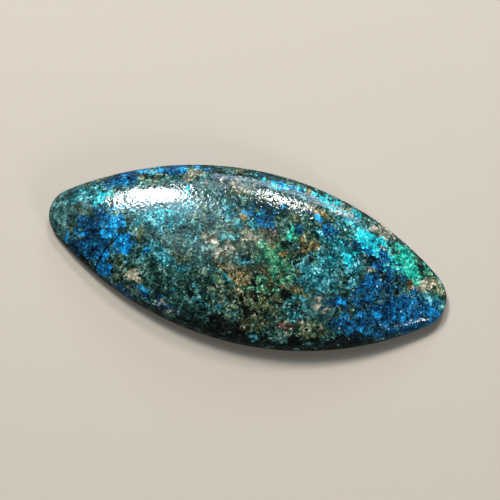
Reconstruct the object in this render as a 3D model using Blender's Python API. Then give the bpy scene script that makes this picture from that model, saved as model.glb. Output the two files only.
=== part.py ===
"""Azurite-malachite cabochon: a marquise-shaped polished stone with a domed face and a flat back.

The stone is one natural piece. Its outline is the lapidary's marquise: two long arcs that meet
in rounded tips. The dome rises from a thin upright girdle, and a small bevel runs round the back.
"""

import math

import bmesh
import bpy

# Driving dimensions, in metres
LENGTH = 0.0550
WIDTH = 0.0235
HEIGHT = 0.0060
GIRDLE_BASE = 0.0005
GIRDLE_TOP = 0.0014
BACK_BEVEL = 0.0005

# The widest section lies a little towards the right tip, and the left side arcs are flatter
BELLY_SHIFT = 0.00055
LEFT_SIDE_RADIUS = 0.0447
RIGHT_SIDE_RADIUS = 0.0420

# The dome's arc is a squared ellipse with full shoulders over the belly, and leaner towards the tips.
# Its upper rings turn into ellipses, so that no keel runs from tip to tip
BELLY_SQUARENESS = 2.55
TIP_SQUARENESS = 1.7
RING_FADE = 1.6

# Facets
TURNS = 96
DOME_ROWS = 20
GIRDLE_ROWS = 2
BEVEL_ROWS = 2
BACK_ROWS = 6

# The colour of the whole stone from a step away, a dark teal, and its hand polish
STONE_COLOUR = (0.024, 0.098, 0.107, 1.0)
STONE_ROUGHNESS = 0.22

HALF_WIDTH = WIDTH / 2


def tip_radius(half_length, side_radius):
    """Radius of the tip arc that runs on from the two side arcs without a corner."""
    drop = 2 * side_radius * HALF_WIDTH - HALF_WIDTH**2 - half_length**2
    return drop / (2 * (side_radius - half_length))


def edge_distance(angle, half_length, side_radius):
    """From the belly's centre to the outline, at an angle between 0 (the tip) and 90 degrees."""
    tip = tip_radius(half_length, side_radius)
    tip_centre = half_length - tip
    side_centre = side_radius - HALF_WIDTH
    lean = math.atan2(side_centre, tip_centre)
    joint = math.atan2(tip * math.sin(lean), tip_centre + tip * math.cos(lean))
    if angle < joint:
        across = tip_centre * math.sin(angle)
        return tip_centre * math.cos(angle) + math.sqrt(tip**2 - across**2)
    across = side_centre * math.cos(angle)
    return math.sqrt(side_radius**2 - across**2) - side_centre * math.sin(angle)


def ring_point(turn, scale):
    """A point of the ring that is the outline drawn in to this scale, 0 at the crown."""
    to_left = math.cos(turn) < 0
    half_length = LENGTH / 2 + (BELLY_SHIFT if to_left else -BELLY_SHIFT)
    side_radius = LEFT_SIDE_RADIUS if to_left else RIGHT_SIDE_RADIUS
    along = half_length * math.cos(turn)
    across = HALF_WIDTH * math.sin(turn)
    angle = math.atan2(abs(across), abs(along))
    stretch = edge_distance(angle, half_length, side_radius) / math.hypot(along, across)
    share = scale**RING_FADE
    reach = scale * (1 - share + share * stretch)
    return BELLY_SHIFT + along * reach, across * reach


def inset_point(turn, inset):
    """A point of the outline moved inwards by the same width at the tips and at the sides."""
    x, y = ring_point(turn, 1.0)
    return x * (1 - inset / (LENGTH / 2)), y * (1 - inset / HALF_WIDTH)


def dome_point(turn, row):
    """A point of the dome: row 0 is the crown, and the last row the top of the girdle."""
    lean = math.pi / 2 * row / DOME_ROWS
    squareness = TIP_SQUARENESS + (BELLY_SQUARENESS - TIP_SQUARENESS) * math.sin(turn) ** 2
    scale = math.sin(lean)
    rise = max(1 - scale**squareness, 0.0) ** (1 / squareness)
    return (*ring_point(turn, scale), GIRDLE_TOP + (HEIGHT - GIRDLE_TOP) * rise)


def stone_point(row, turn):
    """The place of one vertex: rows run from the crown over the girdle to the back's centre."""
    if row <= DOME_ROWS:
        return dome_point(turn, row)
    row -= DOME_ROWS
    if row <= GIRDLE_ROWS:
        height = GIRDLE_TOP + (GIRDLE_BASE - GIRDLE_TOP) * row / GIRDLE_ROWS
        return (*ring_point(turn, 1.0), height)
    row -= GIRDLE_ROWS
    if row <= BEVEL_ROWS:
        share = row / BEVEL_ROWS
        return (*inset_point(turn, BACK_BEVEL * share), GIRDLE_BASE * (1 - share))
    row -= BEVEL_ROWS
    x, y = inset_point(turn, BACK_BEVEL)
    share = 1 - row / BACK_ROWS
    return x * share, y * share, 0.0


def stone_material():
    material = bpy.data.materials.new("polished_azurite_malachite")
    material.use_nodes = True
    shader = material.node_tree.nodes["Principled BSDF"]
    shader.inputs["Base Color"].default_value = STONE_COLOUR
    shader.inputs["Roughness"].default_value = STONE_ROUGHNESS
    shader.inputs["Metallic"].default_value = 0.0
    return material


def make_cabochon(collection):
    """A sphere's rows and turns, moved onto the rings of the stone."""
    rows = DOME_ROWS + GIRDLE_ROWS + BEVEL_ROWS + BACK_ROWS
    shape = bmesh.new()
    bmesh.ops.create_uvsphere(shape, u_segments=TURNS, v_segments=rows, radius=1.0)
    for vertex in shape.verts:
        row = round(math.acos(max(-1.0, min(1.0, vertex.co.z))) / math.pi * rows)
        turn = math.atan2(vertex.co.y, vertex.co.x)
        vertex.co = stone_point(row, turn)
    bmesh.ops.recalc_face_normals(shape, faces=shape.faces)
    mesh = bpy.data.meshes.new("cabochon")
    shape.to_mesh(mesh)
    shape.free()
    mesh.shade_smooth()
    mesh.set_sharp_from_angle(angle=math.radians(30))
    mesh.materials.append(stone_material())
    cabochon = bpy.data.objects.new("cabochon", mesh)
    collection.objects.link(cabochon)
    return cabochon


def main():
    for old in list(bpy.data.objects):
        bpy.data.objects.remove(old)
    collection = bpy.data.collections.new("azurite_malachite_cabochon")
    bpy.context.scene.collection.children.link(collection)
    make_cabochon(collection)


main()
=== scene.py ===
"""Looks of an azurite-malachite cabochon: a marquise-cut stone, domed, polished, flat at the back."""

import math

import bpy
import numpy as np
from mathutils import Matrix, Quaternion, Vector


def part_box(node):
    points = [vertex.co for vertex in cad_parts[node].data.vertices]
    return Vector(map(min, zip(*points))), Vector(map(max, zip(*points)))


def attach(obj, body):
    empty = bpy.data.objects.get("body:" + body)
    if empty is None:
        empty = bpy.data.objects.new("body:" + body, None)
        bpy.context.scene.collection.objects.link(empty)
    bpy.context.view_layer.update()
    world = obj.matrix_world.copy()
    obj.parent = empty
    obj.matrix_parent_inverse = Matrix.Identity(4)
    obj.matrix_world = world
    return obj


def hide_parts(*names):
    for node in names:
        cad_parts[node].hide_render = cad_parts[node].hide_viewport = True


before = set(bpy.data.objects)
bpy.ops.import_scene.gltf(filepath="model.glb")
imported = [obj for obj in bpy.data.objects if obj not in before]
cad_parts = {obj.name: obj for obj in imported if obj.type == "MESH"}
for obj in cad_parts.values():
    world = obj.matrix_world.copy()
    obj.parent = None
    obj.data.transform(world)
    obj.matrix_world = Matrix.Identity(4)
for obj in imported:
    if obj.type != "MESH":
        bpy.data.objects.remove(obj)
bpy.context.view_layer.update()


# The floor that the stone lies on: a plain pale top with a matt lacquer, sprayed on in a warm
# beige. It is so large that its edge is never in view, and it isn't part of the stone.
FLOOR_SIZE = 3.0
FLOOR_COLOUR = "#C7B7A7"


def linear(code):
    """The linear colour of an sRGB hex code."""
    channels = [int(code[i:i + 2], 16) / 255 for i in (1, 3, 5)]
    return (*[c / 12.92 if c <= 0.04045 else ((c + 0.055) / 1.055) ** 2.4 for c in channels], 1.0)


def add(tree, kind, inputs=(), output=0, **settings):
    """Adds a node with its settings, and its inputs in order or by name: values, or sockets to link."""
    node = tree.nodes.new(kind)
    for name, value in settings.items():
        setattr(node, name, value)
    for place, value in inputs.items() if isinstance(inputs, dict) else enumerate(inputs):
        socket = node.inputs[place]
        if isinstance(value, bpy.types.NodeSocket):
            tree.links.new(value, socket)
        else:
            socket.default_value = value
    return node.outputs[output]


floor_mesh = bpy.data.meshes.new("floor_top")
floor_half = FLOOR_SIZE / 2
floor_corners = [(-floor_half, -floor_half, 0), (floor_half, -floor_half, 0),
                 (floor_half, floor_half, 0), (-floor_half, floor_half, 0)]
floor_mesh.from_pydata(floor_corners, [], [(0, 1, 2, 3)])
floor = bpy.data.objects.new("floor_top", floor_mesh)
bpy.context.scene.collection.objects.link(floor)
# Matt lacquer scatters the light, so the top shows only a broad and faint sheen
lacquer = bpy.data.materials.new("matt_lacquered_floor")
lacquer.use_nodes = True
lacquer_shader = lacquer.node_tree.nodes["Principled BSDF"]
lacquer_shader.inputs["Base Color"].default_value = linear(FLOOR_COLOUR)
lacquer_shader.inputs["Roughness"].default_value = 0.6
lacquer_shader.inputs["Specular IOR Level"].default_value = 0.2
floor_mesh.materials.append(lacquer)


# The ore: azurite, malachite and chrysocolla, grown through quartz and iron-stained clay, with
# black manganese between the grains. It is drawn as a solid texture, in millimetres along the
# stone and across it, so that the sides and the back match the face.
MM = 0.001

# A patch runs through the stone like a tilted bed: how far it moves with each millimetre of
# height, and the height at which its place is true
BED_LEAN = (-0.042, 0.171)
BED_LEVEL = 1.4
# Growth has drawn every edge out into ragged tongues, given as wavelength and length
TONGUES = ((2.2, 0.5), (0.7, 0.3))
# A patch is solid out to this share of its half width, and its last grains lie out here
PATCH_CORE = 0.35
PATCH_REACH = 1.7

# The patches of each mineral: place along and across, length, width, turn in degrees, and how
# much of the rock the mineral fills there
SLATE = (
    (-26.2, 0.0, 6.0, 9.0, 0, 1.2), (25.6, -1.0, 3.8, 3.0, 0, 1.1), (-24.4, 1.6, 3.6, 4.0, 35, 1.0),
    (10.7, -4.4, 3.0, 2.8, 0, 1.5),
)
SILT = (
    (1.5, -2.5, 12.0, 10.0, -10, 0.75), (2.0, 2.5, 9.0, 5.0, -20, 0.7), (5.5, -3.5, 3.0, 3.0, 0, 0.9),
    (2.5, -8.5, 6.0, 3.5, 0, 0.7), (-4.0, 1.0, 5.0, 4.0, -30, 0.5), (7.4, 3.4, 3.0, 3.0, 0, 0.8),
    (-8.6, -1.2, 4.5, 3.0, 0, 0.5), (-1.0, 8.4, 9.0, 2.6, 0, 0.7), (8.0, 7.6, 4.0, 2.0, -20, 0.7),
    (-5.0, -4.4, 6.0, 2.0, 10, 0.4), (9.5, -8.0, 6.0, 2.4, 10, 0.6), (-23.0, 1.0, 2.6, 1.4, 10, 0.4),
    (-15.2, 0.2, 2.2, 2.0, 0, 0.7), (-15.6, -4.8, 3.6, 3.4, 0, 0.25), (14.2, -4.2, 3.0, 2.0, 0, 0.5),
)
KHAKI = (
    (-23.4, 0.4, 2.4, 1.0, 10, 0.4), (-23.8, -1.8, 1.8, 1.4, 0, 0.4), (-21.4, 5.6, 2.2, 1.0, 30, 0.8),
    (-23.0, 4.2, 2.4, 1.0, 32, 0.7), (-15.0, -0.6, 0.9, 1.6, 10, 0.9), (-16.4, -4.4, 2.2, 1.2, 0, 0.2),
    (-15.8, -6.2, 3.0, 2.0, 0, 0.6), (-17.7, -5.0, 1.0, 0.8, 0, 0.7), (-16.2, 7.3, 1.3, 0.8, 20, 1.1),
    (-14.5, 7.0, 1.5, 0.7, 20, 0.9), (-13.8, 8.2, 1.4, 0.5, 20, 0.8), (-12.2, 8.6, 1.2, 0.6, 20, 0.8),
    (-9.8, 9.9, 2.2, 0.6, 12, 1.0), (25.9, 1.9, 2.2, 1.4, -40, 1.4), (10.2, -7.5, 2.4, 1.2, 10, 0.8),
    (12.3, -7.3, 1.6, 0.9, 0, 1.0), (-3.0, 2.4, 9.0, 5.0, -20, 0.45), (5.0, 6.2, 3.0, 1.8, 0, 0.6),
    (7.4, 3.8, 2.0, 1.6, 0, 0.9), (0.6, 3.2, 5.0, 2.6, 0, 0.6), (-7.0, 4.6, 6.0, 3.0, 10, 0.3),
    (2.0, -6.0, 9.0, 4.0, 0, 0.45), (14.7, -3.4, 1.0, 1.2, 0, 1.0), (16.8, -4.0, 0.8, 1.6, 0, 0.7),
    (22.6, 3.6, 3.0, 0.8, -38, 0.6),
)
# Teal chrysocolla, and also painted sheen: the bright patches at (-12.6, 2.3), (-8.0, 4.6) and (-9.0,
# 4.0), round the long highlight on the left, stand in part for the cyan sheen there, and those at (-2.0,
# 3.9) and (-0.1, 4.5) in part for the haze to its right
TEAL_AND_PAINTED_SHEEN = (
    (-12.6, 2.3, 6.0, 3.6, 15, 1.0), (-8.0, 4.6, 5.0, 3.4, 10, 0.55), (-13.0, -3.6, 3.2, 1.6, -20, 0.6),
    (-15.8, -4.4, 1.6, 1.2, 0, 0.45), (-5.4, 6.4, 3.6, 1.8, 0, 0.3), (-23.0, 3.2, 4.4, 2.4, 35, 0.9),
    (-11.0, -2.6, 4.6, 1.7, -28, 1.1), (-8.0, -3.7, 1.4, 1.0, 0, 0.9), (-4.4, -2.7, 0.6, 0.6, 0, 1.2),
    (-2.0, -3.2, 1.6, 1.0, -20, 1.0), (-1.0, -4.0, 1.8, 0.6, -20, 0.8), (-4.3, 2.0, 1.6, 1.2, 0, 0.7),
    (-3.6, 5.3, 1.9, 1.3, 0, 1.0), (-2.0, 3.9, 2.0, 1.4, 20, 0.9), (-0.1, 4.5, 1.6, 1.2, 0, 0.9),
    (-2.0, 2.1, 2.0, 1.4, 0, 0.7), (14.3, 0.0, 1.8, 1.6, 0, 1.1), (-24.4, 1.6, 1.8, 1.0, 20, 0.8),
    (3.8, -10.6, 2.4, 0.8, 0, 0.8), (1.8, 1.9, 1.2, 1.2, 0, 0.8), (-2.0, -7.6, 1.7, 0.7, -10, 1.1),
    (0.5, -7.9, 1.1, 0.6, 0, 0.9), (-7.6, -6.0, 6.0, 3.0, 0, 0.3), (-5.0, -7.6, 2.6, 1.4, 0, 0.6),
    (14.0, -7.2, 3.0, 1.0, 22, 0.5), (9.5, -0.5, 5.2, 4.6, 0, 0.9), (8.3, -4.4, 3.4, 1.8, -10, 0.65),
    (8.0, -6.0, 2.2, 1.3, 0, 0.8), (11.3, -1.6, 2.2, 2.0, 0, 0.8), (10.4, 2.2, 4.8, 4.0, 0, 0.9),
    (7.3, -1.5, 1.6, 1.3, 0, 0.8), (11.2, 4.2, 4.4, 2.6, -30, 1.35), (13.0, 2.6, 4.4, 2.6, -45, 1.3),
    (17.6, 3.8, 2.6, 1.6, -30, 0.9), (20.6, 2.4, 3.2, 1.6, -30, 0.8), (14.3, 1.2, 1.8, 1.7, 0, 0.9),
    (3.5, -10.6, 3.0, 0.8, 0, 0.6), (9.0, -9.7, 3.0, 0.8, 10, 0.5), (-9.0, 4.0, 7.0, 7.0, 0, 0.35),
    (-0.4, -0.6, 1.8, 1.2, -20, 0.85), (12.0, 8.2, 4.0, 2.0, -20, 0.9), (25.4, -0.2, 4.0, 2.6, 0, 0.8),
)
MALACHITE = (
    (3.6, 0.6, 4.4, 3.2, -20, 1.0), (1.8, -0.2, 1.6, 1.4, 0, 0.8), (2.8, -2.6, 2.0, 1.8, 0, 0.9),
    (5.0, -1.9, 3.4, 2.6, 0, 0.6), (2.0, -4.0, 3.6, 1.6, -10, 0.6), (8.8, 1.5, 1.8, 1.8, 0, 0.45),
    (24.0, 3.4, 2.4, 0.8, -38, 0.9), (21.5, 5.3, 2.4, 0.8, -30, 0.7), (-3.2, -3.9, 1.4, 0.8, 0, 0.6),
    (5.0, 4.3, 1.6, 1.8, 0, 0.9), (-15.0, -8.6, 4.0, 1.0, -20, 0.3),
)
OCHRE = (
    (-4.9, 1.2, 2.2, 1.4, -35, 0.7), (-3.4, -0.5, 2.8, 1.2, -40, 0.8), (-2.2, -1.9, 2.3, 1.1, -35, 0.9),
    (-0.3, -2.9, 3.2, 1.4, -18, 1.4), (0.7, -3.1, 1.8, 1.0, 0, 1.2), (-1.4, -2.5, 1.2, 0.5, -30, 1.1),
    (7.2, 3.6, 2.6, 2.0, -60, 0.7), (8.2, 2.6, 1.4, 2.2, 0, 0.5), (-14.4, -7.8, 0.7, 0.5, 0, 1.3),
    (-3.3, 10.9, 1.3, 0.5, 0, 1.1), (5.7, 10.9, 1.1, 0.4, 0, 1.2), (15.6, 4.0, 0.6, 0.6, 0, 1.2),
    (21.9, 1.7, 1.0, 0.8, 0, 1.2), (23.4, 1.4, 2.6, 0.9, 15, 1.0), (25.6, 2.8, 0.9, 0.7, -30, 1.2),
    (-1.5, 5.2, 1.3, 1.0, 0, 0.8), (0.2, 2.0, 0.8, 0.7, 0, 0.9), (1.8, 3.4, 2.4, 1.2, -15, 0.7),
    (4.5, 1.4, 1.2, 0.6, -20, 0.9), (5.2, -1.8, 1.6, 1.3, 0, 0.6), (3.0, 2.2, 1.3, 0.6, -30, 0.8),
    (7.5, -2.8, 0.6, 0.5, 0, 1.2), (8.9, -3.1, 0.7, 0.5, 0, 0.8), (8.4, 8.0, 2.2, 0.9, -15, 0.8),
    (7.2, -7.6, 1.2, 0.9, 0, 0.9), (3.0, -5.6, 6.0, 2.0, 0, 0.3), (1.0, -3.0, 12.0, 6.0, 0, 0.15),
)
ROSE = (
    (7.1, -7.7, 1.9, 1.0, 10, 1.2), (9.3, -6.2, 1.0, 1.2, 30, 0.5), (16.6, 7.7, 1.8, 0.9, -20, 0.9),
    (-14.4, -7.8, 0.8, 0.6, 0, 1.2), (2.2, 3.8, 1.6, 1.0, -20, 0.6), (-2.5, 8.9, 2.4, 1.0, 0, 0.7),
    (24.2, 1.8, 1.6, 0.6, 20, 0.8), (21.8, 2.4, 0.8, 0.7, 0, 0.8), (-4.4, 9.6, 3.0, 0.8, 0, 0.5),
    (-9.3, 8.8, 1.6, 0.5, 0, 0.5), (-6.0, 8.0, 3.0, 1.2, 8, 0.35), (10.8, -4.3, 1.2, 1.4, 0, 0.3),
    (6.4, 8.3, 2.4, 1.0, -20, 0.5), (1.6, -9.2, 1.4, 0.5, 0, 0.4), (17.5, 5.7, 0.8, 0.5, -20, 0.9),
    (7.0, 2.4, 1.4, 0.8, -30, 0.6),
)
# Cream clay, and also painted highlight: the pale patches at (-10.0, 9.0), (-8.4, 9.3), (-3.0, 9.6),
# (11.0, 9.0) and (11.2, 9.2) stand in part for the window's reflection along the upper shoulder
CREAM_AND_PAINTED_HIGHLIGHT = (
    (-4.7, 0.9, 2.4, 1.4, -35, 1.0), (-3.2, -0.5, 2.6, 1.1, -40, 0.85), (0.6, 3.0, 2.8, 1.6, -10, 0.7),
    (-1.8, -1.9, 1.8, 0.9, -40, 0.5), (0.2, -3.0, 2.0, 0.8, -10, 0.4), (-14.0, -6.1, 1.9, 1.6, 0, 1.2),
    (-13.4, -6.3, 0.9, 0.6, -30, 1.2), (24.2, 1.9, 2.3, 1.0, 15, 1.25), (22.9, 1.2, 1.4, 0.9, 0, 0.8),
    (16.3, 2.3, 1.3, 0.5, 15, 1.2), (17.0, 7.6, 2.4, 1.2, -20, 1.3), (17.9, 5.8, 0.6, 0.6, 0, 1.0),
    (10.7, -4.4, 2.0, 2.0, 0, 0.7), (9.5, -6.2, 1.1, 0.8, 0, 0.5), (8.2, -8.2, 0.9, 0.7, 0, 1.0),
    (7.4, -8.7, 1.4, 0.4, 0, 0.9), (-12.2, -8.4, 0.7, 0.4, 20, 1.1), (-9.6, -9.0, 1.1, 0.6, 0, 1.3),
    (-8.2, -9.4, 0.7, 0.7, 0, 1.1), (-7.2, -5.5, 0.4, 0.4, 0, 1.3), (-3.0, 9.6, 7.0, 1.6, 0, 0.4),
    (4.0, 10.5, 7.0, 0.6, -5, 0.5), (6.2, 8.6, 3.2, 1.3, -10, 0.7), (-2.2, -4.6, 1.1, 0.25, -12, 1.2),
    (-10.0, 9.0, 2.4, 0.7, 8, 0.7), (-8.4, 9.3, 1.6, 0.3, 15, 1.2), (11.2, 9.2, 2.6, 1.3, -15, 1.3),
    (11.0, 9.0, 3.4, 1.4, -15, 0.6), (-3.0, -0.2, 2.4, 2.0, 0, 0.7), (-0.3, 1.9, 1.8, 1.2, 0, 0.55),
    (1.7, -0.3, 1.2, 1.0, 0, 0.35), (-4.4, 3.2, 2.0, 1.0, 20, 0.3),
)
# Turquoise chrysocolla, and also painted sheen: the patches at (-20.8, 3.0), (-12.4, 2.6) and (-10.4, 6.8)
# tint the long highlight on the left and its foot cyan, those at (10.5, 9.4) and (12.4, 9.4) stand in part
# for the pale highlight along the upper shoulder, and the one at (2.5, 10.6) in part for the pale blue
# reflection along the upper rim
TURQUOISE_AND_PAINTED_SHEEN = (
    (12.6, 7.4, 2.6, 1.4, -30, 0.25), (15.5, 5.5, 3.6, 2.0, -22, 1.5), (17.3, 6.3, 1.8, 1.0, -25, 0.9),
    (14.0, 7.0, 3.0, 1.2, -30, 0.15), (8.6, 10.0, 3.0, 1.3, -15, 0.6), (10.5, 9.4, 3.0, 1.4, -10, 0.58),
    (2.5, 10.6, 8.0, 1.0, -3, 0.56), (17.9, 3.3, 0.8, 0.5, 0, 1.1), (18.4, 2.7, 0.8, 0.4, 0, 1.1),
    (0.15, 5.65, 0.6, 0.25, 0, 1.5), (-12.4, 2.6, 5.0, 3.0, 15, 0.25), (-20.8, 3.0, 3.2, 1.4, 25, 0.6),
    (12.4, 9.4, 2.6, 1.0, -25, 0.6), (11.1, 3.0, 1.4, 1.2, 0, 0.4), (-10.4, 6.8, 2.2, 1.6, 20, 0.4),
    (12.8, 3.7, 3.0, 1.8, -30, 0.68), (18.8, 4.0, 2.2, 1.6, -30, 0.9), (13.4, 2.5, 2.4, 2.0, -30, 0.35),
)
EMERALD = (
    (20.4, 5.5, 2.4, 1.3, -20, 1.0), (20.8, 4.2, 3.2, 2.2, -35, 1.1), (22.0, 3.0, 3.0, 2.0, -40, 0.95),
    (19.4, 5.5, 1.3, 1.1, 0, 0.5), (21.4, 2.8, 2.6, 1.6, -35, 1.0), (4.9, 4.0, 1.5, 1.2, 0, 0.6),
    (4.9, 5.2, 0.5, 1.0, 0, 0.8), (23.5, 4.4, 1.6, 0.7, -35, 0.7),
)
AZURITE = (
    (-15.0, -8.7, 7.0, 0.8, -24, 0.8), (-18.7, -7.1, 2.4, 0.8, -32, 0.8),
    (17.0, -6.7, 4.0, 1.2, 22, 1.0), (9.3, 5.8, 1.2, 0.9, -20, 0.8), (-21.6, -1.4, 3.2, 3.6, 0, 1.3),
    (-21.0, -4.2, 4.6, 3.0, 20, 1.3), (-22.6, -4.4, 3.0, 1.6, -30, 1.0), (-20.3, 0.9, 2.8, 2.4, 0, 1.1),
    (-19.4, -3.6, 2.4, 3.4, 0, 1.2), (-18.8, 6.4, 5.0, 2.2, 28, 1.1), (-12.2, 9.3, 3.4, 1.2, 20, 0.9),
    (-17.0, 7.6, 4.0, 1.4, 25, 0.8), (0.8, 6.3, 3.8, 1.8, -15, 1.3), (5.9, 5.2, 1.7, 0.9, 0, 1.1),
    (10.6, 6.2, 2.8, 1.2, -30, 0.9), (-2.0, -8.7, 2.4, 0.9, 0, 1.0), (-11.0, -8.7, 6.0, 1.4, -12, 0.7),
    (17.2, 3.0, 4.2, 2.6, -20, 0.8), (18.6, 1.2, 3.6, 3.6, 0, 0.9), (16.9, 0.6, 2.0, 2.0, 0, 1.6),
    (16.0, -1.2, 3.2, 4.0, 0, 0.8), (21.4, -3.0, 9.0, 5.4, 10, 1.2), (16.5, -5.4, 6.0, 3.2, 15, 1.0),
    (13.2, -5.9, 3.6, 2.0, 10, 0.6), (25.6, -1.4, 4.0, 2.8, 0, 0.8), (13.2, -2.8, 2.6, 2.4, 0, 0.7),
    (14.6, 4.7, 4.0, 0.9, -28, 0.6), (17.8, 4.8, 2.2, 1.0, -38, 0.85), (1.0, 11.2, 6.0, 0.8, 0, 0.5),
    (-5.0, 7.2, 3.0, 0.6, -10, 0.5), (-9.6, 7.8, 3.0, 1.2, 15, 0.35),
)
# Bright azurite, and also painted reflection: the patch at (2.6, 10.5) stands in part for the pale blue
# reflection along the upper rim
AZURE_AND_PAINTED_REFLECTION = (
    (-18.5, -1.2, 1.8, 2.4, 0, 1.0), (-16.4, -2.2, 2.1, 2.5, 0, 1.3), (-17.9, 0.6, 1.7, 1.6, 0, 1.1),
    (-17.7, 0.4, 1.4, 1.4, 0, 1.6), (-18.8, 2.2, 1.8, 1.0, 20, 0.8), (-18.3, -4.1, 0.8, 1.7, -20, 1.2),
    (-18.2, -6.2, 2.2, 1.7, -20, 1.1), (-24.2, -3.0, 1.4, 1.4, 0, 0.5),
    (-22.6, -2.4, 1.6, 1.2, 0, 0.35), (-13.3, -2.35, 0.8, 0.6, 0, 1.4),
    (-12.6, -7.2, 0.9, 0.6, -20, 1.3), (-11.9, -7.6, 0.7, 0.5, 0, 1.2), (-9.7, -8.3, 0.5, 0.4, 0, 1.2),
    (-18.3, 6.4, 3.0, 1.8, 25, 0.32), (-16.2, 8.0, 3.0, 1.0, 25, 0.3), (-13.5, 8.8, 3.0, 1.0, 20, 0.4),
    (-11.3, 9.6, 1.6, 0.8, 20, 0.7), (-7.8, 10.4, 1.2, 0.6, 10, 1.2), (-9.4, 10.4, 2.0, 0.6, 15, 0.3),
    (-0.7, 5.6, 1.5, 0.8, -10, 0.9), (0.9, 5.0, 2.2, 0.5, -10, 0.9), (2.3, 4.6, 1.0, 0.5, 0, 0.9),
    (3.0, 7.6, 1.0, 0.5, 0, 0.8), (8.0, 7.3, 2.0, 0.7, -25, 1.2), (9.0, 6.7, 1.2, 0.7, -10, 1.1),
    (10.3, 6.2, 1.2, 0.7, -30, 0.7), (16.9, 0.6, 1.5, 1.5, 0, 0.5), (13.3, -2.8, 1.5, 0.9, -20, 1.1),
    (21.7, -1.2, 1.8, 1.0, -15, 0.25), (25.8, -1.6, 2.8, 3.0, 0, 0.6), (16.9, -5.6, 0.6, 3.4, 20, 0.5),
    (18.6, -3.7, 0.8, 2.6, 10, 0.5), (21.0, -4.0, 7.0, 3.2, 10, 0.3), (16.4, -1.6, 3.0, 2.0, 0, 0.3),
    (2.6, 10.5, 6.0, 1.0, -4, 0.5), (17.0, 3.4, 3.4, 2.0, -20, 0.3),
)
# Black manganese grains, and also painted shade: the long dark bands at (0.0, -11.0), (-0.5, -9.4), (-2.0,
# -8.9), (8.5, -10.4), (14.5, -8.8), (-10.0, -9.9) and (-20.5, -6.2) darken the near rim, where shade falls
MANGANESE_AND_PAINTED_RIM_SHADE = (
    (1.8, -3.3, 1.4, 1.2, 0, 0.9), (2.7, -6.6, 1.3, 1.1, 0, 0.8), (6.2, -5.1, 1.3, 1.1, 0, 0.8),
    (-5.7, -6.5, 1.4, 1.1, 0, 0.8), (-0.3, -4.3, 1.2, 0.7, -15, 0.8), (14.4, 7.1, 1.0, 0.6, -30, 0.5),
    (-27.2, 1.4, 1.0, 2.0, 25, 0.5), (5.9, -3.8, 2.6, 1.6, 20, 0.78), (2.2, -2.7, 1.8, 1.3, 0, 0.8),
    (10.0, -7.4, 2.6, 1.2, 10, 0.3), (-16.5, -5.1, 1.8, 1.4, 0, 0.58), (5.2, 2.5, 1.6, 1.3, 0, 0.75),
    (6.5, 0.9, 1.4, 1.1, 0, 0.6), (-5.8, 3.3, 1.1, 0.6, -20, 1.1), (-0.8, 0.0, 2.3, 1.9, 0, 0.85),
    (-0.5, -9.4, 3.0, 1.5, 0, 1.5), (-2.0, -8.9, 3.0, 1.0, 0, 0.9), (0.0, -11.0, 16.0, 2.2, 0, 0.9),
    (8.5, -10.4, 8.0, 1.6, 12, 1.0), (9.1, -9.2, 1.6, 1.0, 15, 0.9), (14.5, -8.8, 9.0, 1.8, 24, 0.95),
    (-10.0, -9.9, 8.0, 1.2, -13, 0.6), (-22.0, -1.3, 0.7, 0.9, 0, 1.2),
    (-21.4, -5.5, 1.3, 0.5, -20, 1.2), (-18.0, 6.6, 0.5, 0.3, 0, 1.4), (-5.8, -1.5, 0.6, 0.4, 0, 1.1),
    (-4.8, -7.5, 0.7, 0.4, 0, 0.8), (8.6, -5.0, 1.8, 1.0, 0, 0.5), (8.7, 1.5, 1.5, 1.6, 0, 0.35),
    (-6.2, -6.4, 1.5, 1.2, 0, 0.5), (22.4, 5.9, 2.6, 0.8, -32, 0.8), (16.6, -5.2, 3.2, 2.4, 15, 0.25),
    (0.2, 6.2, 2.2, 1.5, -15, 0.55), (14.4, 5.0, 2.4, 0.6, -30, 0.45), (16.0, 3.6, 2.6, 0.9, -25, 0.42),
    (19.6, 1.2, 3.0, 0.9, -40, 0.5), (18.6, 2.0, 2.0, 1.2, 0, 0.5), (4.4, 3.0, 1.2, 0.8, 0, 0.7),
    (3.0, 7.2, 5.0, 1.0, -10, 0.5), (0.8, 6.6, 2.8, 0.9, -15, 0.9), (-20.5, -6.2, 7.0, 0.8, -30, 0.8),
    (11.8, -8.6, 3.0, 0.8, 10, 1.0), (2.2, -5.4, 8.5, 4.6, 0, 0.36), (-10.0, -5.6, 8.0, 4.0, -10, 0.25),
    (-20.4, 6.7, 4.0, 1.0, 30, 0.4),
)


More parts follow.
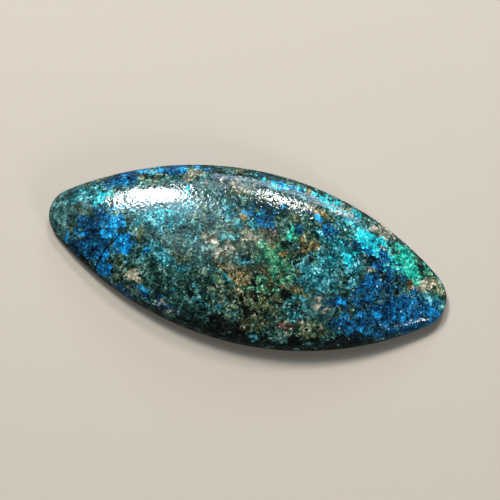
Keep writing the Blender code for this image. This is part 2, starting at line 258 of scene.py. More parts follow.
# The minerals in the order they are laid, each over the one before, with their own colours from
# the deep grains to the pale ones. Some of their patches also carry painted shade, sheen, highlight
# and reflection, as said at each
MINERALS = {
    "weathered_slate": (SLATE, ("#10201F", "#284543", "#426A68", "#6F9A99")),
    "olive_siltstone": (SILT, ("#100F07", "#2A2D18", "#485335", "#76815D")),
    "khaki_clay": (KHAKI, ("#191F12", "#3A452C", "#69775A", "#A9AE8E")),
    "teal_chrysocolla_and_painted_sheen": (TEAL_AND_PAINTED_SHEEN, ("#062528", "#14525A", "#3A8A90", "#8ACDCD")),
    "malachite": (MALACHITE, ("#06201A", "#184A36", "#397A58", "#7DBA8E")),
    "iron_ochre": (OCHRE, ("#1C180A", "#463C1E", "#796B42", "#B6A270")),
    "rose_clay": (ROSE, ("#231914", "#4F3D33", "#876F62", "#C7AC9B")),
    "cream_clay_and_painted_highlight": (CREAM_AND_PAINTED_HIGHLIGHT, ("#3A3F33", "#77765F", "#A69B85", "#CDC0AE")),
    "turquoise_chrysocolla_and_painted_sheen": (TURQUOISE_AND_PAINTED_SHEEN, ("#067380", "#14AEB9", "#2FC8CF", "#7FE8E6")),
    "emerald_chrysocolla": (EMERALD, ("#0A5443", "#1C9A84", "#33BBA0", "#7CE6C4")),
    "deep_azurite": (AZURITE, ("#010D1A", "#062B47", "#104D72", "#2A80AC")),
    "bright_azurite_and_painted_reflection": (AZURE_AND_PAINTED_REFLECTION, ("#023456", "#066294", "#148CC8", "#3CC2F4")),
    "black_manganese_and_painted_rim_shade": (MANGANESE_AND_PAINTED_RIM_SHADE, ("#000101", "#030605", "#0A100C", "#1F2C25")),
}
ROCK_COLOURS = ("#030E0C", "#122C27", "#2F544C", "#729A8E")
# Where those four colours lie in a mixture of grains, which runs from 0 to 1
TONE_STEPS = (0.1, 0.38, 0.66, 0.95)

MATH = "ShaderNodeMath"
VECTORS = "ShaderNodeVectorMath"
stone = bpy.data.materials.new("polished_azurite_malachite")
stone.use_nodes = True
ore = stone.node_tree
shader = ore.nodes["Principled BSDF"]
metres = add(ore, "ShaderNodeTexCoord", output="Object")
here = add(ore, VECTORS, {0: metres, "Scale": 1 / MM}, operation="SCALE")

# Grains, as how many go to a millimetre: clots about a millimetre wide, crystals that are 0.4 mm
# wide in the first mixture and finer in each next one, and dust. Real dust is finer than the
# picture can show, so it is drawn coarser
CLOTS_PER_MM = 0.85
CRYSTALS_PER_MM = 2.4
FINER_CRYSTALS_PER_MM = 0.9
DUST_PER_MM = 3.1
# Three mixtures of them, this far apart in the texture's fourth dimension, by their contrast. Each
# holds three patterns, as its red, green and blue, spread over the range from 0 to 1
CLOT_CONTRASTS = (3.1, 3.1, 2.4)
MIXTURES_APART = 7.3
MIXTURE_MIDDLE = -0.08
LEAST_MIXTURE = 0.06
DUST_SHARE = 0.6
CRYSTAL_SHARE = 0.5
CRYSTAL_WARP = 0.6
mixtures = []
seams = []
for number, contrast in enumerate(CLOT_CONTRASTS):
    fourth = MIXTURES_APART * number
    clots = add(ore, "ShaderNodeTexNoise",
                {"Vector": here, "W": fourth, "Scale": CLOTS_PER_MM, "Detail": 3.5, "Roughness": 0.62,
                 "Distortion": 0.5}, "Color", noise_dimensions="4D")
    dust = add(ore, "ShaderNodeTexNoise",
               {"Vector": here, "W": fourth, "Scale": DUST_PER_MM, "Detail": 2.0, "Roughness": 0.62},
               "Color", noise_dimensions="4D")
    uneven = add(ore, VECTORS, (dust, (CRYSTAL_WARP,) * 3, here), operation="MULTIPLY_ADD")
    crystals = add(ore, "ShaderNodeTexVoronoi",
                   {"Vector": uneven, "Scale": CRYSTALS_PER_MM + FINER_CRYSTALS_PER_MM * number}, "Color")
    seams.append(crystals.node.outputs["Distance"])
    middle = MIXTURE_MIDDLE - contrast / 2
    mixed = add(ore, VECTORS, (clots, (contrast,) * 3, (middle,) * 3), operation="MULTIPLY_ADD")
    mixed = add(ore, VECTORS, (dust, (DUST_SHARE,) * 3, mixed), operation="MULTIPLY_ADD")
    mixed = add(ore, VECTORS, (crystals, (CRYSTAL_SHARE,) * 3, mixed), operation="MULTIPLY_ADD")
    mixed = add(ore, VECTORS, (mixed, (LEAST_MIXTURE,) * 3), operation="MAXIMUM")
    for channel in range(3):
        mixtures.append(add(ore, "ShaderNodeSeparateXYZ", (mixed,), channel))

# The ground rock comes first. Each mineral then covers the grains whose mixture is lower than its
# share of the rock there, with an edge that is a little soft
SOFT_EDGE = (-0.05, 0.15)
colour = None
for number, codes in enumerate([ROCK_COLOURS] + [codes for patches, codes in MINERALS.values()]):
    tone = mixtures[6 + number % 3]
    ramp = add(ore, "ShaderNodeValToRGB", (tone,), "Color")
    steps = ramp.node.color_ramp.elements
    while len(steps) < len(codes):
        steps.new(0.5)
    for step, position, code in zip(steps, TONE_STEPS, codes):
        step.position = position
        step.color = linear(code)
    if number == 0:
        colour = ramp
        continue
    name = list(MINERALS)[number - 1]
    filled = add(ore, "ShaderNodeAttribute", output="Fac", attribute_name=name)
    surplus = add(ore, MATH, (filled, mixtures[number % 6]), operation="SUBTRACT")
    # A Map Range node takes a value, the range it comes in and the range it goes to. The inputs of a
    # Mix node share their names, so they go by number: the share is 0, and the colours are 6 and 7
    laid = add(ore, "ShaderNodeMapRange", (surplus, *SOFT_EDGE))
    colour = add(ore, "ShaderNodeMix", {0: laid, 6: colour, 7: ramp}, 2, data_type="RGBA")

# Small pits where a soft grain has come out, and one old fracture that has stayed open and dark.
# Both are darkened in the base colour below, as painted shade in the hollows
PITS_PER_MM = 1.3
PIT_SHARE = 0.45
PIT_EDGE = (0.14, 0.23)
CRACK_JOGS_PER_MM = 1.6
CRACK_RAGGEDNESS = 0.5
CRACK_EDGE = 0.03
hollows = add(ore, "ShaderNodeTexVoronoi", {"Vector": here, "Scale": PITS_PER_MM})
chosen = add(ore, "ShaderNodeSeparateColor", (hollows.node.outputs["Color"],))
chosen = add(ore, MATH, (chosen, 1 - PIT_SHARE), operation="GREATER_THAN")
pit = add(ore, "ShaderNodeMapRange", (hollows, *PIT_EDGE, 1.0, 0.0))
pit = add(ore, MATH, (pit, chosen), operation="MULTIPLY")
from_crack = add(ore, "ShaderNodeAttribute", output="Fac", attribute_name="from_crack")
half_open = add(ore, "ShaderNodeAttribute", output="Fac", attribute_name="half_open")
ragged = add(ore, "ShaderNodeTexNoise",
             {"Vector": here, "Scale": CRACK_JOGS_PER_MM, "Detail": 3.0, "Roughness": 0.7})
from_crack = add(ore, MATH, (ragged, CRACK_RAGGEDNESS, from_crack), operation="MULTIPLY_ADD")
from_crack = add(ore, MATH, (from_crack, CRACK_RAGGEDNESS / 2), operation="SUBTRACT")
from_crack = add(ore, MATH, (from_crack,), operation="ABSOLUTE")
crack = add(ore, MATH, (half_open, from_crack), operation="SUBTRACT")
crack = add(ore, "ShaderNodeMapRange", (crack, -CRACK_EDGE, CRACK_EDGE))
lost = add(ore, MATH, (pit, crack), operation="MAXIMUM")

# A few pale specks of quartz, a fifth of a millimetre wide, and the cloudiness of the whole rock
SPECKS_PER_MM = 2.1
SPECK_SHARE = 0.04
SPECK_EDGE = (0.14, 0.3)
SPECK_COVER = 0.75
SPECK_COLOUR = "#A9D6CF"
CLOUDS_PER_MM = 0.45
CLOUD_EDGE = (0.3, 0.7)
CLOUD_SHADES = (0.72, 1.25)
specks = add(ore, "ShaderNodeTexVoronoi", {"Vector": uneven, "Scale": SPECKS_PER_MM})
speck_chosen = add(ore, "ShaderNodeSeparateColor", (specks.node.outputs["Color"],), "Green")
speck_chosen = add(ore, MATH, (speck_chosen, 1 - SPECK_SHARE), operation="GREATER_THAN")
speck = add(ore, "ShaderNodeMapRange", (specks, *SPECK_EDGE, SPECK_COVER, 0.0))
speck = add(ore, MATH, (speck, speck_chosen), operation="MULTIPLY")
colour = add(ore, "ShaderNodeMix", {0: speck, 6: colour, 7: linear(SPECK_COLOUR)}, 2, data_type="RGBA")
clouds = add(ore, "ShaderNodeTexNoise", {"Vector": here, "Scale": CLOUDS_PER_MM, "Detail": 2.0})
clouds = add(ore, "ShaderNodeMapRange", (clouds, *CLOUD_EDGE, *CLOUD_SHADES))
colour = add(ore, VECTORS, {0: colour, "Scale": clouds}, operation="SCALE")

# Each grain is pale in its middle and sits in a dark seam. The three mixtures differ in how pale
# and how dark, some areas are crisper than others, and the slate is the smoothest
SEAM_EDGE = (0.2, 0.75)
SEAM_CONTRASTS = ((1.35, 0.8), (1.55, 0.6), (1.7, 0.45))
CRISP_AREAS_PER_MM = 0.3
CRISP_AREAS_APART = 31.0
CRISP_EDGE = (0.35, 0.65)
CRISPNESS = (0.5, 1.2)
SLATE_SMOOTHNESS = 0.75
GRAIN_BRIGHTNESS = 1.13
DARKEST_GRAIN = 0.08
grain = 1.0
for seam, (pale, dark) in zip(seams, SEAM_CONTRASTS):
    seam = add(ore, "ShaderNodeMapRange", (seam, *SEAM_EDGE, pale, dark))
    grain = add(ore, MATH, (grain, seam), operation="MULTIPLY")
crisp = add(ore, "ShaderNodeTexNoise",
            {"Vector": here, "W": CRISP_AREAS_APART, "Scale": CRISP_AREAS_PER_MM, "Detail": 2.0},
            noise_dimensions="4D")
crisp = add(ore, "ShaderNodeMapRange", (crisp, *CRISP_EDGE, *CRISPNESS))
slaty = add(ore, "ShaderNodeAttribute", output="Fac", attribute_name="weathered_slate")
slaty = add(ore, MATH, (slaty, -SLATE_SMOOTHNESS, 1.0), operation="MULTIPLY_ADD", use_clamp=True)
crisp = add(ore, MATH, (crisp, slaty), operation="MULTIPLY")
grain = add(ore, MATH, (grain, 1.0), operation="SUBTRACT")
grain = add(ore, MATH, (grain, crisp, GRAIN_BRIGHTNESS), operation="MULTIPLY_ADD")
grain = add(ore, MATH, (grain, DARKEST_GRAIN), operation="MAXIMUM")
colour = add(ore, VECTORS, {0: colour, "Scale": grain}, operation="SCALE")

# The polish gives a wet gloss with a fine peel, over the broad sheen of the grains below it. It
# fades out where the dome grows steep, and the girdle below is only ground. Towards the girdle the
# base colour is darkened as painted shade
POLISH_FADES = (0.62, 0.85)
PAINTED_GIRDLE_SHADE_HEIGHTS = (0.9, 1.8)
PAINTED_GIRDLE_SHADE = 0.3
GROUND_ROUGHNESS = 0.6
POLISHED_ROUGHNESS = 0.34
# How dark the pits and the open fracture are painted: painted shade in the hollows
LOST_SHADE = 0.95
PEEL_PER_MM = 2.5
PEEL_DEPTH = 0.03
levelness = add(ore, "ShaderNodeAttribute", output="Fac", attribute_name="levelness")
polished = add(ore, "ShaderNodeMapRange", (levelness, *POLISH_FADES), interpolation_type="SMOOTHSTEP")
low_place = add(ore, "ShaderNodeSeparateXYZ", (here,), "Z")
# Painted shade: the base colour darkens from 1.8 mm above the back down to 0.9 mm, and stays darkest below
painted_girdle_darkening = add(ore, "ShaderNodeMapRange", (low_place, *PAINTED_GIRDLE_SHADE_HEIGHTS, PAINTED_GIRDLE_SHADE, 1.0))
whole = add(ore, MATH, (1.0, lost), operation="SUBTRACT")
# Painted shade in the pits, in the open fracture and towards the girdle, multiplied into the base colour
painted_hollow_and_girdle_shade = add(ore, MATH, (lost, -LOST_SHADE, 1.0), operation="MULTIPLY_ADD")
painted_hollow_and_girdle_shade = add(ore, MATH, (painted_hollow_and_girdle_shade, painted_girdle_darkening), operation="MULTIPLY")
darkened = add(ore, VECTORS, {0: colour, "Scale": painted_hollow_and_girdle_shade}, operation="SCALE")
ore.links.new(darkened, shader.inputs["Base Color"])
peel = add(ore, "ShaderNodeTexNoise",
           {"Vector": here, "Scale": PEEL_PER_MM, "Detail": 1.0, "Roughness": 0.5, "Distortion": 0.6})
bump = add(ore, "ShaderNodeBump", {"Height": peel, "Strength": 1.0, "Distance": PEEL_DEPTH * MM}, "Normal")
ore.links.new(bump, shader.inputs["Normal"])
ore.links.new(bump, shader.inputs["Coat Normal"])
polished = add(ore, MATH, (polished, whole), operation="MULTIPLY")
ore.links.new(polished, shader.inputs["Coat Weight"])
rough = add(ore, "ShaderNodeMapRange", (polished, 0.0, 1.0, GROUND_ROUGHNESS, POLISHED_ROUGHNESS))
ore.links.new(rough, shader.inputs["Roughness"])
shader.inputs["Specular IOR Level"].default_value = 0.1
shader.inputs["Specular Tint"].default_value = linear("#8FE6EE")
# Quartz and chrysocolla, which bind the grains, bend light by about 1.5
shader.inputs["IOR"].default_value = 1.5
shader.inputs["Coat Roughness"].default_value = 0.08
shader.inputs["Coat IOR"].default_value = 1.5


# The stone itself. One piece, sawn and ground to a marquise: two long arcs that meet in rounded
# tips, a domed face, a thin upright girdle and a flat back with a bevelled edge.
stone_low, stone_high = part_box("cabochon")
SIZES = {
    "Length": (stone_high.x - stone_low.x) / MM, "Width": (stone_high.y - stone_low.y) / MM,
    "Height": (stone_high.z - stone_low.z) / MM, "Girdle Top": 1.4, "Girdle Base": 0.5,
    "Back Bevel": 0.5, "Belly Shift": 0.55, "Left Side Radius": 44.7, "Right Side Radius": 42.0,
    "Belly Squareness": 2.55, "Tip Squareness": 1.7, "Ring Fade": 1.6,
}
COUNTS = {"Columns": 380, "Rows": 168}
GIRDLE_ROWS = 3
BEVEL_ROWS = 4
BEVEL_ROUNDNESS = 1.25
BACK_MARGIN = 0.2
BACK_RINGS = 20
# Marks of the work, as wavelength and depth: the wheel's broad flats, and the peel of the grains.
# They fade out down the girdle: above the second of these heights they are full, and below the
# first there are none
WORK_MARKS = ((7.0, 0.03), (2.6, 0.009), (0.75, 0.0035))
WORKED_HEIGHTS = (0.2, 1.2)
# A noise strays by about a quarter either side of its middle, so this many times it strays by one
NOISE_SWING = 4
WELD_GAP = 0.001

cut = bpy.data.node_groups.new("marquise_cabochon", "GeometryNodeTree")
cut.interface.new_socket("Geometry", in_out="INPUT", socket_type="NodeSocketGeometry")
for name in SIZES:
    cut.interface.new_socket(name, in_out="INPUT", socket_type="NodeSocketFloat")
for name in COUNTS:
    cut.interface.new_socket(name, in_out="INPUT", socket_type="NodeSocketInt")
cut.interface.new_socket("Material", in_out="INPUT", socket_type="NodeSocketMaterial")
cut.interface.new_socket("Geometry", in_out="OUTPUT", socket_type="NodeSocketGeometry")
size = cut.nodes.new("NodeGroupInput").outputs

# A square net of points, pulled into a disc without a pole in the middle
net = add(cut, "GeometryNodeMeshGrid",
          {"Size X": 2.0, "Size Y": 2.0, "Vertices X": size["Columns"], "Vertices Y": size["Rows"]})
place = add(cut, "GeometryNodeInputPosition")
squares = add(cut, VECTORS, (place, place), operation="MULTIPLY")
squares = add(cut, VECTORS, (squares, (-0.5, -0.5, 0.0), (1.0, 1.0, 0.0)), operation="MULTIPLY_ADD")
u_narrows = add(cut, "ShaderNodeSeparateXYZ", (squares,), "Y")
v_narrows = add(cut, "ShaderNodeSeparateXYZ", (squares,), "X")
u_narrows = add(cut, MATH, (u_narrows,), operation="SQRT")
v_narrows = add(cut, MATH, (v_narrows,), operation="SQRT")
narrows = add(cut, "ShaderNodeCombineXYZ", (u_narrows, v_narrows))
disc = add(cut, VECTORS, (place, narrows), operation="MULTIPLY")
disc_u = add(cut, "ShaderNodeSeparateXYZ", (disc,), "X")
disc_v = add(cut, "ShaderNodeSeparateXYZ", (disc,), "Y")
turn = add(cut, MATH, (disc_v, disc_u), operation="ARCTAN2")
spread = add(cut, VECTORS, (disc,), "Value", operation="LENGTH")
spread = add(cut, MATH, (spread, 1.0), operation="MINIMUM")
lean = add(cut, MATH, (spread, math.pi / 2), operation="MULTIPLY")
scale = add(cut, MATH, (lean,), operation="SINE")

# The left and the right half have their own length and their own side arc. Where a Mix node mixes
# numbers, they are its inputs 2 and 3
cosine = add(cut, MATH, (turn,), operation="COSINE")
sine = add(cut, MATH, (turn,), operation="SINE")
to_left = add(cut, MATH, (cosine, 0.0), operation="LESS_THAN")
half = add(cut, MATH, (size["Length"], 0.5), operation="MULTIPLY")
left_half = add(cut, MATH, (half, size["Belly Shift"]), operation="ADD")
right_half = add(cut, MATH, (half, size["Belly Shift"]), operation="SUBTRACT")
half_length = add(cut, "ShaderNodeMix", {0: to_left, 2: right_half, 3: left_half})
half_width = add(cut, MATH, (size["Width"], 0.5), operation="MULTIPLY")
side = add(cut, "ShaderNodeMix", {0: to_left, 2: size["Right Side Radius"], 3: size["Left Side Radius"]})
along = add(cut, MATH, (half_length, cosine), operation="MULTIPLY")
across = add(cut, MATH, (half_width, sine), operation="MULTIPLY")

# The tip arc that runs on from the side arc without a corner
side_centre = add(cut, MATH, (side, half_width), operation="SUBTRACT")
slack = add(cut, MATH, (side, half_length), operation="SUBTRACT")
side_squared = add(cut, MATH, (side, side), operation="MULTIPLY")
centre_squared = add(cut, MATH, (side_centre, side_centre), operation="MULTIPLY")
length_squared = add(cut, MATH, (half_length, half_length), operation="MULTIPLY")
drop = add(cut, MATH, (side_squared, centre_squared), operation="SUBTRACT")
drop = add(cut, MATH, (drop, length_squared), operation="SUBTRACT")
tip = add(cut, MATH, (drop, slack), operation="DIVIDE")
tip = add(cut, MATH, (tip, 0.5), operation="MULTIPLY")
tip_centre = add(cut, MATH, (half_length, tip), operation="SUBTRACT")
meeting = add(cut, "ShaderNodeCombineXYZ", (tip_centre, side_centre))
meeting = add(cut, VECTORS, (meeting,), operation="NORMALIZE")
meeting = add(cut, VECTORS, {0: meeting, "Scale": tip}, operation="SCALE")
meeting_x = add(cut, "ShaderNodeSeparateXYZ", (meeting,), "X")
meeting_x = add(cut, MATH, (meeting_x, tip_centre), operation="ADD")
meeting_y = add(cut, "ShaderNodeSeparateXYZ", (meeting,), "Y")
joint = add(cut, MATH, (meeting_y, meeting_x), operation="ARCTAN2")

# The outline's distance from the belly's centre: on the tip arc, or else on the side arc
upright = add(cut, MATH, (across,), operation="ABSOLUTE")
sideways = add(cut, MATH, (along,), operation="ABSOLUTE")
angle = add(cut, MATH, (upright, sideways), operation="ARCTAN2")
angle_cosine = add(cut, MATH, (angle,), operation="COSINE")
angle_sine = add(cut, MATH, (angle,), operation="SINE")
tip_along = add(cut, MATH, (tip_centre, angle_cosine), operation="MULTIPLY")
tip_across = add(cut, MATH, (tip_centre, angle_sine), operation="MULTIPLY")
tip_across = add(cut, MATH, (tip_across, tip_across), operation="MULTIPLY")
tip_squared = add(cut, MATH, (tip, tip), operation="MULTIPLY")
tip_chord = add(cut, MATH, (tip_squared, tip_across), operation="SUBTRACT")
tip_chord = add(cut, MATH, (tip_chord, 0.0), operation="MAXIMUM")
tip_chord = add(cut, MATH, (tip_chord,), operation="SQRT")
by_tip = add(cut, MATH, (tip_along, tip_chord), operation="ADD")
side_along = add(cut, MATH, (side_centre, angle_cosine), operation="MULTIPLY")
side_along = add(cut, MATH, (side_along, side_along), operation="MULTIPLY")
side_across = add(cut, MATH, (side_centre, angle_sine), operation="MULTIPLY")
side_chord = add(cut, MATH, (side_squared, side_along), operation="SUBTRACT")
side_chord = add(cut, MATH, (side_chord,), operation="SQRT")
by_side = add(cut, MATH, (side_chord, side_across), operation="SUBTRACT")
on_tip = add(cut, MATH, (angle, joint), operation="LESS_THAN")
distance = add(cut, "ShaderNodeMix", {0: on_tip, 2: by_side, 3: by_tip})

# Rings: the outline at the rim, fading to an oval near the crown
oval = add(cut, "ShaderNodeCombineXYZ", (along, across))
oval_distance = add(cut, VECTORS, (oval,), "Value", operation="LENGTH")
stretch = add(cut, MATH, (distance, oval_distance), operation="DIVIDE")
share = add(cut, MATH, (scale, size["Ring Fade"]), operation="POWER")
stretch = add(cut, "ShaderNodeMix", {0: share, 2: 1.0, 3: stretch})
reach = add(cut, MATH, (stretch, scale), operation="MULTIPLY")
ring = add(cut, VECTORS, {0: oval, "Scale": reach}, operation="SCALE")

# The dome's height over each ring is a squared ellipse, fuller over the belly than at the tips
fullness = add(cut, MATH, (sine, sine), operation="MULTIPLY")
squareness = add(cut, "ShaderNodeMix",
                 {0: fullness, 2: size["Tip Squareness"], 3: size["Belly Squareness"]})
fall = add(cut, MATH, (scale, squareness), operation="POWER")
fall = add(cut, MATH, (1.0, fall), operation="SUBTRACT")
fall = add(cut, MATH, (fall, 0.0), operation="MAXIMUM")
root = add(cut, MATH, (1.0, squareness), operation="DIVIDE")
rise = add(cut, MATH, (fall, root), operation="POWER")
height = add(cut, "ShaderNodeMix", {0: rise, 2: size["Girdle Top"], 3: size["Height"]})
foot = add(cut, "ShaderNodeCombineXYZ", (size["Belly Shift"], 0.0, height))
dome_place = add(cut, VECTORS, (ring, foot), operation="ADD")
body = add(cut, "GeometryNodeSetPosition", {"Geometry": net, "Position": dome_place})

# The rim, which is the edges that have one face, is drawn down over the girdle, round the bevel and
# in over the back. The whole numbers of a Compare node are its inputs 2 and 3
faces_of_edge = add(cut, "GeometryNodeInputMeshEdgeNeighbors")
rim = add(cut, "FunctionNodeCompare", {2: faces_of_edge, 3: 1}, data_type="INT", operation="EQUAL")
box = add(cut, "ShaderNodeCombineXYZ", (size["Length"], size["Width"], 1.0))
inward = add(cut, VECTORS, ((-2.0, -2.0, 0.0), box), operation="DIVIDE")
girdle = add(cut, MATH, (size["Girdle Base"], size["Girdle Top"]), operation="SUBTRACT")
lowest = size["Girdle Base"]
bevel = size["Back Bevel"]
steps = [(0.0, 1 / GIRDLE_ROWS, 0.0)] * GIRDLE_ROWS
for row in range(BEVEL_ROWS):
    before, after = row / BEVEL_ROWS, (row + 1) / BEVEL_ROWS
    drawn_in = after**BEVEL_ROUNDNESS - before**BEVEL_ROUNDNESS
    steps.append((drawn_in, 0.0, (1 - after) ** BEVEL_ROUNDNESS - (1 - before) ** BEVEL_ROUNDNESS))
steps.append((BACK_MARGIN, 0.0, 0.0))
for drawn_in, girdle_share, base_share in steps:
    body = add(cut, "GeometryNodeExtrudeMesh",
               {"Mesh": body, "Selection": rim, "Offset Scale": 0.0}, mode="EDGES")
    rim = body.node.outputs["Top"]
    inset = add(cut, MATH, (bevel, drawn_in), operation="MULTIPLY")
    shrink = add(cut, VECTORS, {0: inward, "Scale": inset}, operation="SCALE")
    sink = add(cut, MATH, (girdle, girdle_share), operation="MULTIPLY")
    sink = add(cut, MATH, (lowest, base_share, sink), operation="MULTIPLY_ADD")
    down = add(cut, "ShaderNodeCombineXYZ", (0.0, 0.0, sink))
    offset = add(cut, VECTORS, (place, shrink, down), operation="MULTIPLY_ADD")
    body = add(cut, "GeometryNodeSetPosition", {"Geometry": body, "Selection": rim, "Offset": offset})
for row in range(BACK_RINGS):
    body = add(cut, "GeometryNodeExtrudeMesh",
               {"Mesh": body, "Selection": rim, "Offset Scale": 0.0}, mode="EDGES")
    rim = body.node.outputs["Top"]
    smaller = 1 - 1 / (BACK_RINGS - row)
    ring_place = add(cut, VECTORS, (place, (smaller, smaller, 1.0)), operation="MULTIPLY")
    body = add(cut, "GeometryNodeSetPosition",
               {"Geometry": body, "Selection": rim, "Position": ring_place})
body = add(cut, "GeometryNodeMergeByDistance", {"Geometry": body, "Distance": WELD_GAP})

# The wheel leaves broad flats, and harder and softer grains a peel
normal = add(cut, "GeometryNodeInputNormal")
level = add(cut, "ShaderNodeSeparateXYZ", (place,), "Z")
worked = add(cut, "ShaderNodeMapRange", (level, *WORKED_HEIGHTS))
relief = 0.0
for wavelength, depth in WORK_MARKS:
    noise = add(cut, "ShaderNodeTexNoise", {"Vector": place, "Scale": 1 / wavelength, "Detail": 1.0})
    centred = add(cut, MATH, (noise, 0.5), operation="SUBTRACT")
    relief = add(cut, MATH, (centred, NOISE_SWING * depth, relief), operation="MULTIPLY_ADD")
relief = add(cut, MATH, (relief, worked), operation="MULTIPLY")
lift = add(cut, VECTORS, {0: normal, "Scale": relief}, operation="SCALE")
body = add(cut, "GeometryNodeSetPosition", {"Geometry": body, "Offset": lift})

facing_up = add(cut, "ShaderNodeSeparateXYZ", (normal,), "Z")
body = add(cut, "GeometryNodeStoreNamedAttribute",
           {"Geometry": body, "Name": "levelness", "Value": facing_up}, data_type="FLOAT")

# The place in the ore bed: it leans with height, and growth has drawn it into ragged tongues
above = add(cut, MATH, (level, BED_LEVEL), operation="SUBTRACT")
bed_lean = add(cut, VECTORS, {0: (*BED_LEAN, 0.0), "Scale": above}, operation="SCALE")
bed_place = add(cut, VECTORS, (place, bed_lean), operation="ADD")
for wavelength, length in TONGUES:
    tongues = add(cut, "ShaderNodeTexNoise",
                  {"Vector": place, "Scale": 1 / wavelength, "Detail": 2.0, "Roughness": 0.6}, "Color")
    drawn = add(cut, VECTORS, (tongues, (0.5, 0.5, 0.5)), operation="SUBTRACT")
    drawn = add(cut, VECTORS, {0: drawn, "Scale": NOISE_SWING * length}, operation="SCALE")
    bed_place = add(cut, VECTORS, (bed_place, drawn), operation="ADD")
body = add(cut, "GeometryNodeStoreNamedAttribute",
           {"Geometry": body, "Name": "bed_place", "Value": bed_place}, data_type="FLOAT_VECTOR")
body = add(cut, "GeometryNodeTransform", {"Geometry": body, "Scale": (MM, MM, MM)})
body = add(cut, "GeometryNodeSetShadeSmooth", {"Geometry": body, "Shade Smooth": True})
body = add(cut, "GeometryNodeRealizeInstances", {"Geometry": body})
body = add(cut, "GeometryNodeSetMaterial", {"Geometry": body, "Material": size["Material"]})
cut.links.new(body, cut.nodes.new("NodeGroupOutput").inputs[0])

blank = bpy.data.objects.new("stone_blank", bpy.data.meshes.new("stone_blank"))
bpy.context.scene.collection.objects.link(blank)
grinding = blank.modifiers.new("cut", "NODES")
grinding.node_group = cut
inputs = {**SIZES, **COUNTS, "Material": stone}
for item in cut.interface.items_tree:
    if item.in_out == "INPUT" and item.name in inputs:
        grinding[item.identifier] = inputs[item.name]
graph = bpy.context.evaluated_depsgraph_get()
cabochon_mesh = bpy.data.meshes.new_from_object(blank.evaluated_get(graph), depsgraph=graph)
cabochon_mesh.name = "cabochon_stone"
cabochon_mesh.materials.clear()
cabochon_mesh.materials.append(stone)
bpy.data.objects.remove(blank)

# How much of the rock each mineral fills round every point: the most that one of its patches does
bed = np.zeros(3 * len(cabochon_mesh.vertices), np.float32)
cabochon_mesh.attributes["bed_place"].data.foreach_get("vector", bed)
bed_x, bed_y = bed[0::3], bed[1::3]
for name, (patches, codes) in MINERALS.items():
    filled = np.zeros(len(bed_x), np.float32)
    for x, y, length, width, degrees, cover in patches:
        cosine, sine = math.cos(math.radians(degrees)), math.sin(math.radians(degrees))
        along = ((bed_x - x) * cosine + (bed_y - y) * sine) / (length / 2)
        across = ((bed_y - y) * cosine - (bed_x - x) * sine) / (width / 2)
        fades = np.clip((PATCH_REACH - np.hypot(along, across)) / (PATCH_REACH - PATCH_CORE), 0, 1)
        filled = np.maximum(filled, cover * fades)
    cabochon_mesh.attributes.new(name, "FLOAT", "POINT").data.foreach_set("value", filled)

# The fracture crosses the left side: its course from the near edge inwards, and how far it stands
# open on either side, until it closes at the end
CRACK_ALONG = (-19.6, -19.4, -19.0, -18.5, -17.5, -16.9, -16.6)
CRACK_ACROSS = (-7.4, -6.7, -5.5, -4.0, -2.5, -1.0, -0.4)
CRACK_HALF_OPEN = (0.17, 0.17, 0.13, 0.16, 0.12, 0.08, -0.1)
points = np.zeros(3 * len(cabochon_mesh.vertices), np.float32)
cabochon_mesh.vertices.foreach_get("co", points)
points_x, points_y = points[0::3] / MM, points[1::3] / MM
from_crack = points_x - np.interp(points_y, CRACK_ACROSS, CRACK_ALONG)
half_open = np.interp(points_y, CRACK_ACROSS, CRACK_HALF_OPEN)
for name, values in (("from_crack", from_crack), ("half_open", half_open)):
    values = values.astype(np.float32)
    cabochon_mesh.attributes.new(name, "FLOAT", "POINT").data.foreach_set("value", values)
cabochon = bpy.data.objects.new("cabochon_stone", cabochon_mesh)
bpy.context.scene.collection.objects.link(cabochon)
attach(cabochon, "root")
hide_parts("cabochon")


# The light: a tall window behind the stone and to its left, a second one straight behind, the
# bright sky and reveal round them, and a wall that gives some of it back. Each is a soft
# rectangle that faces the stone, given as direction, breadth, height, lean, brightness and colour.
LIGHT_DISTANCE = 0.6
LIGHTS = {
    "window": ((-0.385, 0.475, 0.79), 0.115, 0.14, -10, 54.0, "#FCFFFF"),
    "window_reveal": ((-0.32, 0.36, 0.87), 0.16, 0.18, 20, 6.0, "#C6EEFF"),
    "high_sky": ((-0.13, 0.20, 0.97), 0.16, 0.10, 10, 1.4, "#B2F0FF"),
    "side_window": ((0.02, 0.69, 0.73), 0.04, 0.09, 0, 88.0, "#FFFFFF"),
    "sky": ((-0.20, 0.72, 0.67), 0.25, 0.08, -10, 4.8, "#DCF0FF"),
    "low_sky": ((0.05, 0.91, 0.41), 0.36, 0.16, 0, 7.2, "#C4E2FF"),
    "lamp_wall": ((0.78, -0.50, 0.38), 0.06, 0.16, 0, 42.0, "#E8F4FF"),
}
ROOM_COLOUR = "#FFF4E6"
ROOM_BRIGHTNESS = 0.06
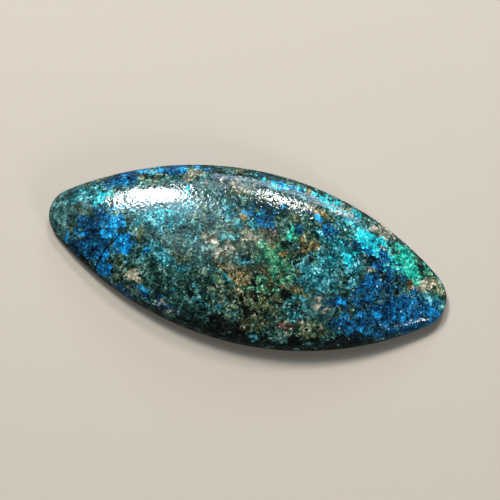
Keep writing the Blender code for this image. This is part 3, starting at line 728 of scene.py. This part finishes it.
for name, (towards, breadth, tall, lean, radiance, colour) in LIGHTS.items():
    light = bpy.data.lights.new(name, "AREA")
    light.shape = "RECTANGLE"
    light.size = breadth
    light.size_y = tall
    light.energy = radiance * breadth * tall * math.pi
    light.color = linear(colour)[:3]
    lamp = bpy.data.objects.new(name, light)
    direction = Vector(towards).normalized()
    lamp.location = direction * LIGHT_DISTANCE
    facing = direction.to_track_quat("Z", "Y") @ Quaternion((0.0, 0.0, 1.0), math.radians(lean))
    lamp.rotation_euler = facing.to_euler()
    bpy.context.scene.collection.objects.link(lamp)
world = bpy.data.worlds.new("dim_room")
world.use_nodes = True
world.node_tree.nodes["Background"].inputs["Color"].default_value = linear(ROOM_COLOUR)
world.node_tree.nodes["Background"].inputs["Strength"].default_value = ROOM_BRIGHTNESS
bpy.context.scene.world = world
bpy.context.scene.view_settings.view_transform = "Standard"

# The camera looks down on the stone, turned so that its long axis falls to the right. The picture
# is 500 pixels wide, the stone is 407.5 long, and its middle lies left of and below the picture's.
VIEW_AZIMUTH = 13.8
VIEW_ELEVATION = 80.0
VIEW_DISTANCE = 0.25
PICTURE_PIXELS = 500
STONE_PIXELS = 407.5
STONE_LEFT_PIXELS = 3.1
STONE_BELOW_PIXELS = 6.35
SENSOR_MM = 36.0
pixel = SIZES["Length"] / STONE_PIXELS * MM
azimuth, elevation = math.radians(VIEW_AZIMUTH), math.radians(VIEW_ELEVATION)
back = Vector((math.sin(azimuth) * math.cos(elevation), -math.cos(azimuth) * math.cos(elevation),
               math.sin(elevation)))
camera_data = bpy.data.cameras.new("camera")
camera_data.sensor_width = SENSOR_MM
camera_data.lens = SENSOR_MM * VIEW_DISTANCE / (PICTURE_PIXELS * pixel)
camera_data.clip_start = 0.01
camera = bpy.data.objects.new("camera", camera_data)
turn = (-back).to_track_quat("-Z", "Y")
right, up = turn @ Vector((1, 0, 0)), turn @ Vector((0, 1, 0))
middle = Vector((0, 0, SIZES["Girdle Top"] * MM))
target = middle + right * STONE_LEFT_PIXELS * pixel + up * STONE_BELOW_PIXELS * pixel
camera.location = target + back * VIEW_DISTANCE
camera.rotation_mode = "QUATERNION"
camera.rotation_quaternion = turn
bpy.context.scene.collection.objects.link(camera)
bpy.context.scene.camera = camera
